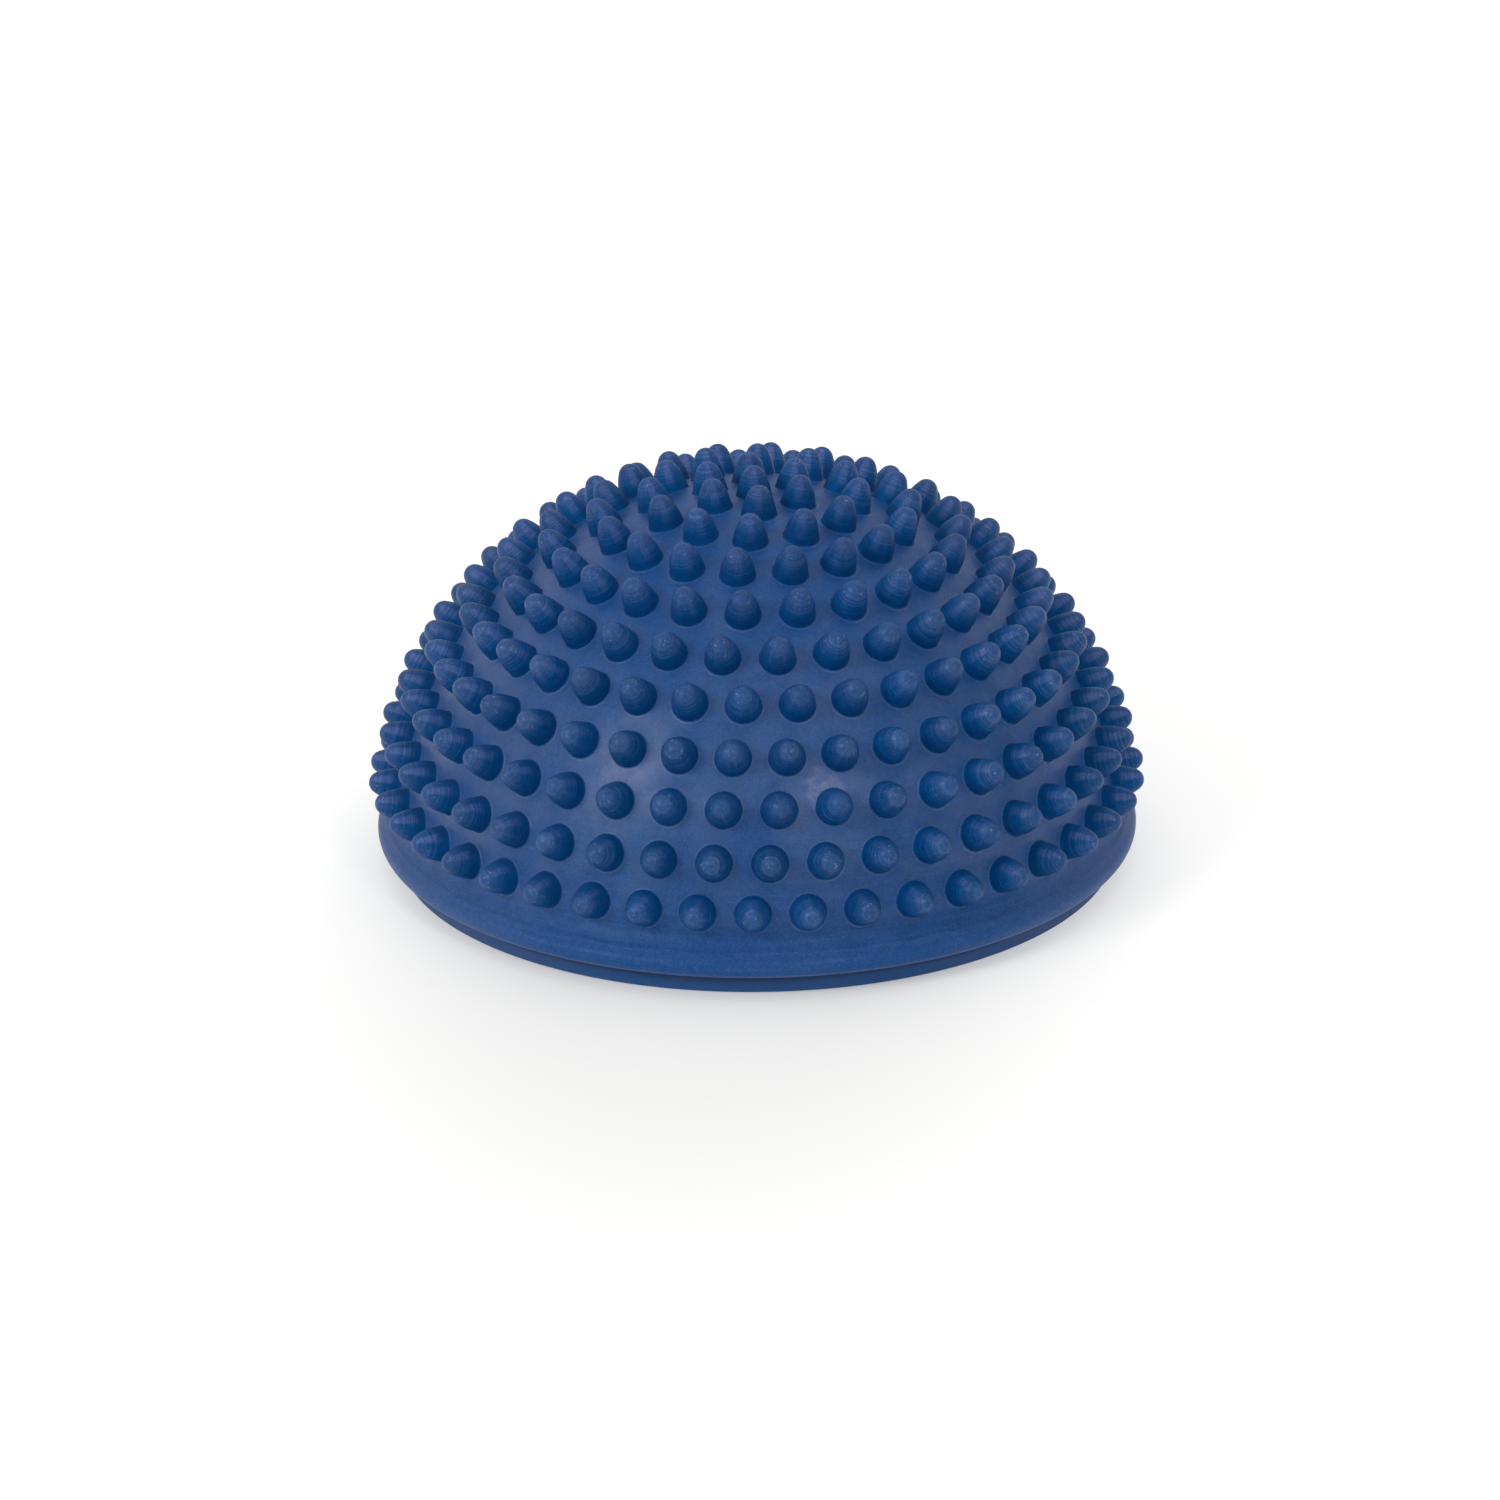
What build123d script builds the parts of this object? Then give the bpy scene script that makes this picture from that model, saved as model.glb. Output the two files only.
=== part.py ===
from build123d import *
import math
import os

# Balance dome trainer: an air-filled soft PVC dome, covered in bullet-shaped
# massage studs, welded along its rim to a flat closing disc with an air valve.
# Millimetres. Origin on the floor at the middle of the base, +Z up.

# ---------------------------------------------------------------- dome shell
dome_centre_z = 1.6          # centre of the dome's sphere above the floor
dome_radius = 76.6           # outside of the skin between the studs
wall = 3.0                   # skin thickness
flare_top_z = 13.5           # where the skin leaves the sphere and starts to flare
lip_radius = 80.0            # widest point of the lip
lip_z = 6.5                  # height of the widest point
lip_under_radius = 78.1      # lower edge of the lip
lip_under_z = 4.65
weld_z = 4.3                 # plane where the dome is welded to the base disc
rim_inner_radius = 72.2      # inside of the thickened weld rim
rim_inner_top_z = 13.0

# --------------------------------------------------------------------- studs
stud_base_radius = 3.65
stud_full_height = 7.3       # tip to foot; the foot lies just inside the skin
stud_root = 1.6              # how far the stud's root runs into the skin
stud_nose_radius = 2.4       # round nose, centred on the stud's axis
# one row per ring, from the rim to the top:
# number of studs, elevation (deg) on the sphere, radius of the tips, azimuth (deg) of one stud
# azimuth 0 faces -Y and grows towards +X
stud_rings = [
    (43, 11.45, 83.20, -76.10),
    (41, 18.93, 83.35, -77.05),
    (39, 26.83, 83.60, -70.16),
    (37, 34.64, 83.65, -72.33),
    (33, 42.72, 83.75, -78.89),
    (28, 50.41, 83.72, -84.81),
    (23, 58.31, 83.68, -97.39),
    (18, 66.49, 83.45, -86.42),
    (12, 74.53, 83.10, -92.23),
    (6, 82.54, 82.90, -114.36),
    (1, 90.0, 82.85, 0.0),
]

# ----------------------------------------------------------------- base disc
base_radius = 75.9           # at the weld
base_foot_radius = 75.5      # just above the floor
base_edge_round = 0.9
foot_inner_radius = 62.0     # the resting ring runs from here to the edge
foot_recess = 1.0            # depth of the field inside the resting ring
grip_rib_radii = (22.0, 32.0, 42.0, 52.0)
grip_rib_width = 2.6
spigot_outer_radius = 72.05  # locating ring inside the dome's rim
spigot_inner_radius = 69.6
spigot_top_z = 8.6
hub_radius = 11.5            # boss that carries the valve
hub_top_z = 13.0
hub_recess_radius = 12.5     # pocket under the valve
hub_recess_z = 3.4
hub_wall_radius = 15.5       # ring round the pocket
valve_seat_radius = 4.6      # hole in the boss

# --------------------------------------------------------------------- valve
valve_flange_radius = 9.6
valve_flange_z = 2.2
valve_bead_radius = 5.7
valve_top_z = 15.2
plug_bore_radius = 2.1
plug_bore_top_z = 11.4
needle_radius = 0.8

plug_stem_radius = 2.05      # 0.05 running clearance in the bore
plug_stem_top_z = 10.6
plug_head_radius = 4.8
plug_head_z0 = 0.9
plug_head_z1 = 2.15
plug_tab_length = 8.6
plug_tab_width = 4.4
plug_tab_z1 = 1.75

os.makedirs("parts", exist_ok=True)


def on_sphere(radius, z):
    """Radius from the axis, at height z, of the dome's sphere of this radius."""
    return math.sqrt(radius ** 2 - (z - dome_centre_z) ** 2)


def stud_planes():
    planes = []
    for count, elevation, tip, azimuth in stud_rings:
        e = math.radians(elevation)
        for i in range(count):
            a = math.radians(azimuth + 360.0 * i / count)
            n = Vector(math.cos(e) * math.sin(a), -math.cos(e) * math.cos(a), math.sin(e))
            foot = Vector(0, 0, dome_centre_z) + n * (tip - stud_full_height)
            side = Vector(math.cos(a), math.sin(a), 0)
            planes.append(Plane(origin=foot, x_dir=side, z_dir=n))
    return planes


# the stud's outline, from its foot on the skin up to its tip: the flank is an arc
# that stands square on the foot and runs smoothly into the nose
nose_centre_h = stud_full_height - stud_nose_radius
flank_arc = (nose_centre_h ** 2 + stud_base_radius ** 2 - stud_nose_radius ** 2) / (
    2 * (stud_base_radius - stud_nose_radius)
)
turn = math.atan2(nose_centre_h, flank_arc - stud_base_radius)
join_r = stud_nose_radius * math.cos(turn)
join_h = nose_centre_h + stud_nose_radius * math.sin(turn)
mid_nose = (turn + math.radians(90.0)) / 2
nose_mid_r = stud_nose_radius * math.cos(mid_nose)
nose_mid_h = nose_centre_h + stud_nose_radius * math.sin(mid_nose)

# ------------------------------------------------------------------ one stud
# Bullet: widest at the foot, its flank curving in all the way up to a round nose.
with BuildPart() as stud:
    with BuildSketch(Plane.XZ):
        with BuildLine():
            ThreePointArc((0, stud_full_height), (nose_mid_r, nose_mid_h), (join_r, join_h))
            TangentArc((join_r, join_h), (stud_base_radius, 0), tangent=(math.sin(turn), -math.cos(turn)))
            Polyline(
                (stud_base_radius, 0),
                (stud_base_radius, -stud_root),
                (0, -stud_root),
                (0, stud_full_height),
            )
        make_face()
    revolve(axis=Axis.Z)

# ---------------------------------------------------------------- dome shell
outer_r = on_sphere(dome_radius, flare_top_z)
inner_radius = dome_radius - wall
inner_r = on_sphere(inner_radius, rim_inner_top_z)
slope = math.asin((flare_top_z - dome_centre_z) / dome_radius)
half_out = math.radians(45)
with BuildPart() as dome_shell:
    with BuildSketch(Plane.XZ):
        with BuildLine():
            # outside: sphere, concave flare, rounded lip, underside of the lip
            ThreePointArc(
                (0, dome_centre_z + dome_radius),
                (dome_radius * math.cos(half_out), dome_centre_z + dome_radius * math.sin(half_out)),
                (outer_r, flare_top_z),
            )
            Spline(
                (outer_r, flare_top_z),
                (76.65, 10.6),
                (79.1, 7.9),
                tangents=[(math.sin(slope), -math.cos(slope)), (0.8, -0.6)],
            )
            Spline(
                (79.1, 7.9),
                (lip_radius, lip_z),
                (79.3, 5.2),
                (lip_under_radius, lip_under_z),
                tangents=[(0.8, -0.6), (-0.97, -0.24)],
            )
            Polyline(
                (lip_under_radius, lip_under_z),
                (76.6, weld_z),
                (rim_inner_radius, weld_z),
                (rim_inner_radius, 10.0),
                (inner_r, rim_inner_top_z),
            )
            ThreePointArc(
                (inner_r, rim_inner_top_z),
                (inner_radius * math.cos(half_out), dome_centre_z + inner_radius * math.sin(half_out)),
                (0, dome_centre_z + inner_radius),
            )
            Line((0, dome_centre_z + inner_radius), (0, dome_centre_z + dome_radius))
        make_face()
    revolve(axis=Axis.Z)
    with Locations(*[Location(p) for p in stud_planes()]):
        add(stud.part, clean=False)
dome_shell.part.label = "dome_shell"

# ----------------------------------------------------------------- base disc
with BuildPart() as base_disc:
    with BuildSketch(Plane.XZ):
        with BuildLine():
            Polyline(
                (base_foot_radius - base_edge_round, 0),
                (foot_inner_radius, 0),
                (foot_inner_radius - foot_recess, foot_recess),
                (hub_wall_radius, foot_recess),
                (hub_wall_radius - foot_recess, 0),
                (hub_recess_radius, 0),
                (hub_recess_radius, hub_recess_z),
                (valve_seat_radius, hub_recess_z),
                (valve_seat_radius, hub_top_z),
                (hub_radius - 1.5, hub_top_z),
                (hub_radius, hub_top_z - 1.5),
                (hub_radius, 6.4),
                (hub_wall_radius, weld_z),
                (spigot_inner_radius, weld_z),
                (spigot_inner_radius, spigot_top_z),
                (spigot_outer_radius - 1.2, spigot_top_z),
                (spigot_outer_radius, spigot_top_z - 1.2),
                (spigot_outer_radius, weld_z),
                (base_radius, weld_z),
                (base_foot_radius, base_edge_round),
            )
            RadiusArc(
                (base_foot_radius, base_edge_round),
                (base_foot_radius - base_edge_round, 0),
                base_edge_round,
            )
        make_face()
    revolve(axis=Axis.Z)
    # concentric grip ribs, down to the floor plane
    with BuildSketch(Plane.XY):
        for r in sorted(grip_rib_radii, reverse=True):
            Circle(r + grip_rib_width / 2)
            Circle(r - grip_rib_width / 2, mode=Mode.SUBTRACT)
    extrude(amount=foot_recess)
base_disc.part.label = "base_disc"

# ---------------------------------------------------------------- valve body
with BuildPart() as valve_body:
    with BuildSketch(Plane.XZ):
        with BuildLine():
            Polyline(
                (plug_bore_radius + 0.5, valve_flange_z),
                (valve_flange_radius - 0.5, valve_flange_z),
                (valve_flange_radius, valve_flange_z + 0.5),
                (valve_flange_radius, hub_recess_z),
                (valve_seat_radius, hub_recess_z),
                (valve_seat_radius, hub_top_z),
                (valve_bead_radius, hub_top_z),
                (valve_bead_radius, hub_top_z + 0.8),
                (valve_seat_radius - 0.9, valve_top_z),
                (needle_radius, valve_top_z),
                (needle_radius, plug_bore_top_z + 0.9),
                (plug_bore_radius, plug_bore_top_z),
                (plug_bore_radius, valve_flange_z + 0.5),
                (plug_bore_radius + 0.5, valve_flange_z),
            )
        make_face()
    revolve(axis=Axis.Z)
valve_body.part.label = "valve_body"

# ---------------------------------------------------------------- valve plug
with BuildPart() as valve_plug:
    with BuildSketch(Plane.XZ):
        with BuildLine():
            Polyline(
                (0, plug_head_z0),
                (plug_head_radius - 0.4, plug_head_z0),
                (plug_head_radius, plug_head_z0 + 0.4),
                (plug_head_radius, plug_head_z1 - 0.2),
                (plug_head_radius - 0.2, plug_head_z1),
                (plug_stem_radius, plug_head_z1),
                (plug_stem_radius, plug_stem_top_z - 1.4),
                (1.2, plug_stem_top_z),
                (0, plug_stem_top_z),
                (0, plug_head_z0),
            )
        make_face()
    revolve(axis=Axis.Z)
    # pull tab, standing off the flange so that a nail gets under it
    with BuildSketch(Plane.XY.offset(plug_head_z0)):
        with Locations((plug_tab_length / 2 + 1.0, 0)):
            SlotOverall(plug_tab_length, plug_tab_width)
    extrude(amount=plug_tab_z1 - plug_head_z0)
valve_plug.part.label = "valve_plug"

export_step(dome_shell.part, "parts/dome_shell.step")
export_step(base_disc.part, "parts/base_disc.step")
export_step(valve_body.part, "parts/valve_body.step")
export_step(valve_plug.part, "parts/valve_plug.step")
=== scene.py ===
import math

import bpy
import numpy as np
from mathutils import Matrix, Vector
from mathutils.geometry import delaunay_2d_cdt


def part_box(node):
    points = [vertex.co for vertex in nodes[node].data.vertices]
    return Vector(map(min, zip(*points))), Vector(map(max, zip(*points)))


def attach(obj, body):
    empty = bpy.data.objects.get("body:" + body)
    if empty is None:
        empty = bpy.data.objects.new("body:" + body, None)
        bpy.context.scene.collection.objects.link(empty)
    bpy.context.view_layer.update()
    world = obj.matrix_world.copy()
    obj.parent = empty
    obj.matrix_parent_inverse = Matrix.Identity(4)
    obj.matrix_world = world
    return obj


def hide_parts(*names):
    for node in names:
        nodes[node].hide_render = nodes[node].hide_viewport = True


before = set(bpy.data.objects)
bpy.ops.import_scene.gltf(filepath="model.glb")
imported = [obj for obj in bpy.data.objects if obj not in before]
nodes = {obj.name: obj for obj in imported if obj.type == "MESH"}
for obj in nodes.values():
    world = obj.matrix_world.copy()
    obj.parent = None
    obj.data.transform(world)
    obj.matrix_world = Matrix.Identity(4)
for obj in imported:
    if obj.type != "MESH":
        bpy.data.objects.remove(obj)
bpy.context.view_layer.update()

MM = 0.001
scene = bpy.context.scene

# ----------------------------------------------------------------------------
# Sizes, in millimetres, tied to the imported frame
# ----------------------------------------------------------------------------
dome_lo, dome_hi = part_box("dome_shell")
base_lo, base_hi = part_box("base_disc")
body_lo, body_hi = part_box("valve_body")
plug_lo, plug_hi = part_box("valve_plug")

Z0 = 1.6                                   # centre of the dome's sphere
RS = 76.6                                  # outside of the skin
WALL = 3.0
WELD_Z = dome_lo.z / MM                    # 4.3
TOP_TIP = dome_hi.z / MM - Z0              # 82.85
RIM_IN = 72.2
LIP_C = (77.7, 6.56)                       # middle of the lip's rounded bead
LIP_R = 2.3
FLARE_TOP = 13.5
STEP_Z = 9.6                               # faint step where the rim's band begins
STEP_OUT = 0.20

RINGS = [  # studs, elevation, radius of the tips, azimuth of one stud
    (43, 11.45, 83.20, -76.10),
    (41, 18.93, 83.35, -77.05),
    (39, 26.83, 83.60, -70.16),
    (37, 34.64, 83.65, -72.33),
    (33, 42.72, 83.75, -78.89),
    (28, 50.41, 83.72, -84.81),
    (23, 58.31, 83.68, -97.39),
    (18, 66.49, 83.45, -86.42),
    (12, 74.53, 83.10, -92.23),
    (6, 82.54, 82.90, -114.36),
    (1, 90.0, TOP_TIP, 0.0),
]
STUD_R = 3.65
STUD_H = 7.3
NOSE_R = 2.4
NOSE_C = STUD_H - NOSE_R
FLANK_R = (NOSE_C ** 2 + STUD_R ** 2 - NOSE_R ** 2) / (2 * (STUD_R - NOSE_R))
NOSE_TURN = math.atan2(NOSE_C, FLANK_R - STUD_R)
SEGS = 20                                  # round each stud
RING_T = 4.65                              # where a stud's own patch meets the skin
RIM_SEGS = 360

rng = np.random.default_rng(879)


# ----------------------------------------------------------------------------
# Camera
# ----------------------------------------------------------------------------
CAM = dict(f=5458.3, d=1.06302, h=0.45721, pitch=22.3049, yaw=-0.0724, roll=-0.55)


def make_camera():
    p, y, r = (math.radians(CAM[k]) for k in ("pitch", "yaw", "roll"))
    fwd = Vector((math.sin(y) * math.cos(p), math.cos(y) * math.cos(p), -math.sin(p)))
    right = Vector((math.cos(y), -math.sin(y), 0))
    up = right.cross(fwd)
    r2 = right * math.cos(r) + up * math.sin(r)
    u2 = up * math.cos(r) - right * math.sin(r)
    cam = bpy.data.objects.new("camera", bpy.data.cameras.new("camera"))
    scene.collection.objects.link(cam)
    m = Matrix((
        (r2.x, u2.x, -fwd.x, 0.0),
        (r2.y, u2.y, -fwd.y, -CAM["d"]),
        (r2.z, u2.z, -fwd.z, CAM["h"]),
        (0, 0, 0, 1),
    ))
    cam.matrix_world = m
    cam.data.sensor_width = 36.0
    cam.data.lens = CAM["f"] * 36.0 / 1500.0
    cam.data.clip_start = 0.01
    cam.data.clip_end = 50
    scene.camera = cam


make_camera()


# ----------------------------------------------------------------------------
# Mesh helpers
# ----------------------------------------------------------------------------
def bezier(p0, p1, p2, p3, n):
    t = np.linspace(0, 1, n)[:, None]
    p0, p1, p2, p3 = (np.array(p, float) for p in (p0, p1, p2, p3))
    return (1 - t) ** 3 * p0 + 3 * (1 - t) ** 2 * t * p1 + 3 * (1 - t) * t * t * p2 + t ** 3 * p3


def arc(cx, cy, r, a0, a1, n):
    a = np.radians(np.linspace(a0, a1, n))
    return np.stack([cx + r * np.cos(a), cy + r * np.sin(a)], -1)


def rounded(points, radii, n=5):
    """A polyline's corners rounded off; radii 0 keeps the corner."""
    out = []
    pts = [np.array(p, float) for p in points]
    for i, p in enumerate(pts):
        r = radii[i] if i < len(radii) else 0
        if r <= 0 or i in (0, len(pts) - 1):
            out.append(p)
            continue
        a, b = pts[i - 1] - p, pts[i + 1] - p
        la, lb = np.linalg.norm(a), np.linalg.norm(b)
        a, b = a / la, b / lb
        ang = math.acos(float(np.clip(a @ b, -1, 1)))
        d = min(r / math.tan(ang / 2), 0.48 * la, 0.48 * lb)
        s, e = p + a * d, p + b * d
        for t in np.linspace(0, 1, n):
            out.append((1 - t) ** 2 * s + 2 * (1 - t) * t * p + t * t * e)
    return np.array(out)


def new_object(name, verts_mm, faces, smooth=True, attributes=None):
    me = bpy.data.meshes.new(name)
    me.from_pydata([tuple(v) for v in (np.asarray(verts_mm) * MM).tolist()], [], faces)
    me.validate()
    me.update()
    if smooth:
        me.polygons.foreach_set("use_smooth", np.ones(len(me.polygons), bool))
    for k, v in (attributes or {}).items():
        a = me.attributes.new(k, "FLOAT", "POINT")
        a.data.foreach_set("value", np.asarray(v, np.float32))
    ob = bpy.data.objects.new(name, me)
    scene.collection.objects.link(ob)
    return ob


def lathe_faces(first, rows, segs, flip=False):
    """Quads between rows of segs vertices, the first row starting at index first."""
    k = np.arange(segs)
    k2 = (k + 1) % segs
    out = []
    for i in range(rows - 1):
        a = first + i * segs
        b = a + segs
        q = np.stack([a + k, a + k2, b + k2, b + k], -1)
        if flip:
            q = q[:, ::-1]
        out += q.tolist()
    return out


def lathe(name, profile, segs, closed=False, mark_sharp=None):
    """A turned piece. profile is (r, z) pairs; a point on the axis becomes one vertex."""
    prof = np.asarray(profile, float)
    verts, rows = [], []
    az = 2 * np.pi * np.arange(segs) / segs
    for r, z in prof:
        start = len(verts)
        if r < 1e-6:
            verts.append((0, 0, z))
            rows.append((start, 1))
        else:
            verts += np.stack([r * np.sin(az), -r * np.cos(az), np.full(segs, z)], -1).tolist()
            rows.append((start, segs))
    faces = []
    pairs = list(zip(rows[:-1], rows[1:]))
    if closed:
        pairs.append((rows[-1], rows[0]))
    for (a, na), (b, nb) in pairs:
        for k in range(segs):
            k2 = (k + 1) % segs
            if na == 1 and nb == 1:
                break
            if na == 1:
                faces.append((a, b + k2, b + k))
            elif nb == 1:
                faces.append((a + k, a + k2, b))
            else:
                faces.append((a + k, a + k2, b + k2, b + k))
    return new_object(name, verts, faces)


def outward(ob):
    """Makes all faces of a closed piece point outwards."""
    import bmesh
    bm = bmesh.new()
    bm.from_mesh(ob.data)
    bmesh.ops.recalc_face_normals(bm, faces=bm.faces)
    bm.to_mesh(ob.data)
    bm.free()
    ob.data.update()


# ----------------------------------------------------------------------------
# Dome skin with its studs, flare and lip: one closed mesh
# ----------------------------------------------------------------------------
flare_el = math.asin((FLARE_TOP - Z0) / RS)
flare_r = RS * math.cos(flare_el)
p0 = np.array([flare_r, FLARE_TOP])
p3 = np.array([LIP_C[0] + LIP_R * math.cos(math.radians(50)), LIP_C[1] + LIP_R * math.sin(math.radians(50))])
p1 = p0 + 2.2 * np.array([math.sin(flare_el), -math.cos(flare_el)])
p2 = p3 - 1.6 * np.array([math.sin(math.radians(50)), -math.cos(math.radians(50))])
flare = bezier(p0, p1, p2, p3, 200)
fl_el = np.arctan2(flare[:, 1] - Z0, flare[:, 0])
fl_rad = np.hypot(flare[:, 0], flare[:, 1] - Z0)
order = np.argsort(fl_el)
fl_el, fl_rad = fl_el[order], fl_rad[order]


def skin_radius(el):
    el = np.asarray(el, float)
    return np.where(el >= flare_el, RS, np.interp(el, fl_el, fl_rad))


def skin_point(az, el):
    rad = skin_radius(el)
    r = rad * np.cos(el)
    return np.stack([r * np.sin(az), -r * np.cos(az), Z0 + rad * np.sin(el)], -1)


def to_plane(az, el):
    rho = 2 * np.tan((np.pi / 2 - el) / 2)
    return np.stack([rho * np.sin(az), -rho * np.cos(az)], -1)


EDGE_EL = math.radians(7.2)

def stud_rows(sink):
    """A stud's outline from the skin up, for a foot that lies sink inside the skin: (distance from its axis, height above the skin)."""
    rows = [(4.25, 0.030), (3.93, 0.015), (3.75, 0.10), (3.665, 0.32)]
    rows = [(t, h - t * t / (2 * RS)) for t, h in rows]          # these follow the curved skin
    join = NOSE_C + NOSE_R * math.sin(NOSE_TURN) - sink
    for part in (0.22, 0.43, 0.63, 0.82):
        h = part * join + sink
        rows.append((STUD_R - FLANK_R + math.sqrt(FLANK_R ** 2 - h * h), part * join))
    for a in (NOSE_TURN, NOSE_TURN + 0.30, NOSE_TURN + 0.60, NOSE_TURN + 0.86):
        rows.append((NOSE_R * math.cos(a), NOSE_C + NOSE_R * math.sin(a) - sink))
    return rows


def build_dome():
    pts2, pts3, tag = [], [], []
    at_h, at_t, at_rnd, at_low, at_turn = [], [], [], [], []
    studs = []
    for count, el, tip, az in RINGS:
        for i in range(count):
            studs.append((math.radians(az + 360.0 * i / count), math.radians(el), tip))
    dirs = np.array([[math.cos(e) * math.sin(a), -math.cos(e) * math.cos(a), math.sin(e)] for a, e, _ in studs])

    def add(p2, p3_, h, t, rnd, who, low=0.0, turn=0.0):
        pts2.append(p2), pts3.append(p3_), at_h.append(h), at_t.append(t), at_rnd.append(rnd), tag.append(who)
        at_low.append(low), at_turn.append(turn)

    # rim of the patch
    for k in range(RIM_SEGS):
        a = 2 * math.pi * k / RIM_SEGS
        add(to_plane(a, EDGE_EL), skin_point(a, EDGE_EL), 0, 9, .5, -1)
    # a ring of points round every stud
    rnd = rng.random(len(studs))
    phis = 2 * np.pi * np.arange(SEGS) / SEGS
    for s, (a, e, tip) in enumerate(studs):
        n = Vector(dirs[s])
        t1 = Vector((math.cos(a), math.sin(a), 0))
        t2 = n.cross(t1)
        al = RING_T / RS
        for ph in phis:
            d = n * math.cos(al) + (t1 * math.cos(ph) + t2 * math.sin(ph)) * math.sin(al)
            az, el = math.atan2(d.x, -d.y), math.asin(max(-1, min(1, d.z)))
            add(to_plane(az, el), skin_point(az, el), 0, RING_T, rnd[s], s, -math.sin(ph), math.cos(ph))
    # the skin between them
    step = 1.55
    clear = math.cos((RING_T + 0.8) / RS)
    rows = int((math.pi / 2 - EDGE_EL) * RS / (step * 0.87))
    for i in range(1, rows):
        el = EDGE_EL + (math.pi / 2 - EDGE_EL) * i / rows
        m = max(1, int(round(2 * math.pi * RS * math.cos(el) / step)))
        az = 2 * math.pi * (np.arange(m) + 0.5 * (i % 2)) / m
        d = np.stack([math.cos(el) * np.sin(az), -math.cos(el) * np.cos(az), np.full(m, math.sin(el))], -1)
        near = (d @ dirs.T).max(1)
        for k in np.nonzero(near < clear)[0]:
            t = math.acos(min(1, near[k])) * RS
            add(to_plane(az[k], el), skin_point(az[k], el), 0, t, .5, -1)
    n2 = len(pts2)
    edges = [(k, (k + 1) % RIM_SEGS) for k in range(RIM_SEGS)]
    for s in range(len(studs)):
        b = RIM_SEGS + s * SEGS
        edges += [(b + k, b + (k + 1) % SEGS) for k in range(SEGS)]
    res = delaunay_2d_cdt([Vector(p) for p in pts2], edges, [], 0, 1e-9)
    tris = res[2]
    orig = [o[0] for o in res[3]]
    assert len(res[0]) == n2 and all(len(o) == 1 for o in res[3]), "the plane triangulation merged points"
    faces = []
    for f in tris:
        f = [orig[i] for i in f]
        w = {tag[i] for i in f}
        if len(w) == 1 and -1 not in w:
            continue
        if all(i < RIM_SEGS for i in f):
            continue
        a, b, c = (np.array(pts2[i]) for i in f)
        if (b - a)[0] * (c - a)[1] - (b - a)[1] * (c - a)[0] < 0:
            f = f[::-1]
        faces.append(tuple(f))
    # stud patches
    verts = list(pts3)
    for s, (a, e, tip) in enumerate(studs):
        n = np.array(dirs[s])
        t1 = np.array([math.cos(a), math.sin(a), 0.0])
        t2 = np.cross(n, t1)
        skin_foot = np.array([0, 0, Z0]) + n * RS
        sink = RS - (tip - STUD_H)                 # how far the foot lies inside the skin
        prev = RIM_SEGS + s * SEGS
        for t, h in stud_rows(sink):
            start = len(verts)
            for ph in phis:
                verts.append(skin_foot + (t1 * math.cos(ph) + t2 * math.sin(ph)) * t + n * h)
                at_h.append(max(h + t * t / (2 * RS), 0.0)), at_t.append(t), at_rnd.append(rnd[s]), tag.append(s)
                at_low.append(-math.sin(ph)), at_turn.append(math.cos(ph))
            for k in range(SEGS):
                k2 = (k + 1) % SEGS
                faces.append((prev + k, prev + k2, start + k2, start + k))
            prev = start
        verts.append(skin_foot + n * (tip - RS))
        at_h.append(tip - RS), at_t.append(0.0), at_rnd.append(rnd[s]), tag.append(s), at_low.append(0.0), at_turn.append(0.0)
        for k in range(SEGS):
            faces.append((prev + k, prev + (k + 1) % SEGS, len(verts) - 1))
    # flare, lip, underside, inside: rows of turned points below the patch's rim
    low = flare[np.arctan2(flare[:, 1] - Z0, flare[:, 0]) < EDGE_EL - math.radians(0.35)]
    above, below = low[low[:, 1] > STEP_Z + 0.07], low[low[:, 1] < STEP_Z - 0.07]
    above = above[np.linspace(0, len(above) - 1, 4).astype(int)]
    below = below[np.linspace(0, len(below) - 1, 6).astype(int)]
    below = below + np.outer(np.linspace(1, 0, len(below)), (STEP_OUT, 0.0))     # the band at the rim stands a little proud
    low = np.concatenate([above, below])
    bead = arc(LIP_C[0], LIP_C[1], LIP_R, 50, -88, 13)[1:]
    under = np.array([[76.75, WELD_Z], [76.0, WELD_Z], [RIM_IN, WELD_Z]])
    ri = RS - WALL
    inner0 = math.asin((13.0 - Z0) / ri)
    inside = [[RIM_IN, 7.0], [RIM_IN, 10.0]] + [
        [ri * math.cos(t), Z0 + ri * math.sin(t)] for t in np.linspace(inner0, math.pi / 2, 15)[:-1]
    ]
    rows = np.concatenate([low, bead, under, np.array(inside)])
    rows[:, 1] = np.maximum(rows[:, 1], WELD_Z)
    az = 2 * np.pi * np.arange(RIM_SEGS) / RIM_SEGS
    prev = 0
    for r, z in rows:
        start = len(verts)
        verts += list(np.stack([r * np.sin(az), -r * np.cos(az), np.full(RIM_SEGS, z)], -1))
        at_h += [0.0] * RIM_SEGS
        at_t += [9.0] * RIM_SEGS
        at_rnd += [0.5] * RIM_SEGS
        at_low += [0.0] * RIM_SEGS
        at_turn += [0.0] * RIM_SEGS
        for k in range(RIM_SEGS):
            k2 = (k + 1) % RIM_SEGS
            faces.append((prev + k2, prev + k, start + k, start + k2))
        prev = start
    verts.append(np.array([0, 0, Z0 + ri]))
    at_h.append(0.0), at_t.append(9.0), at_rnd.append(0.5), at_low.append(0.0), at_turn.append(0.0)
    for k in range(RIM_SEGS):
        faces.append((prev + (k + 1) % RIM_SEGS, prev + k, len(verts) - 1))
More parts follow.
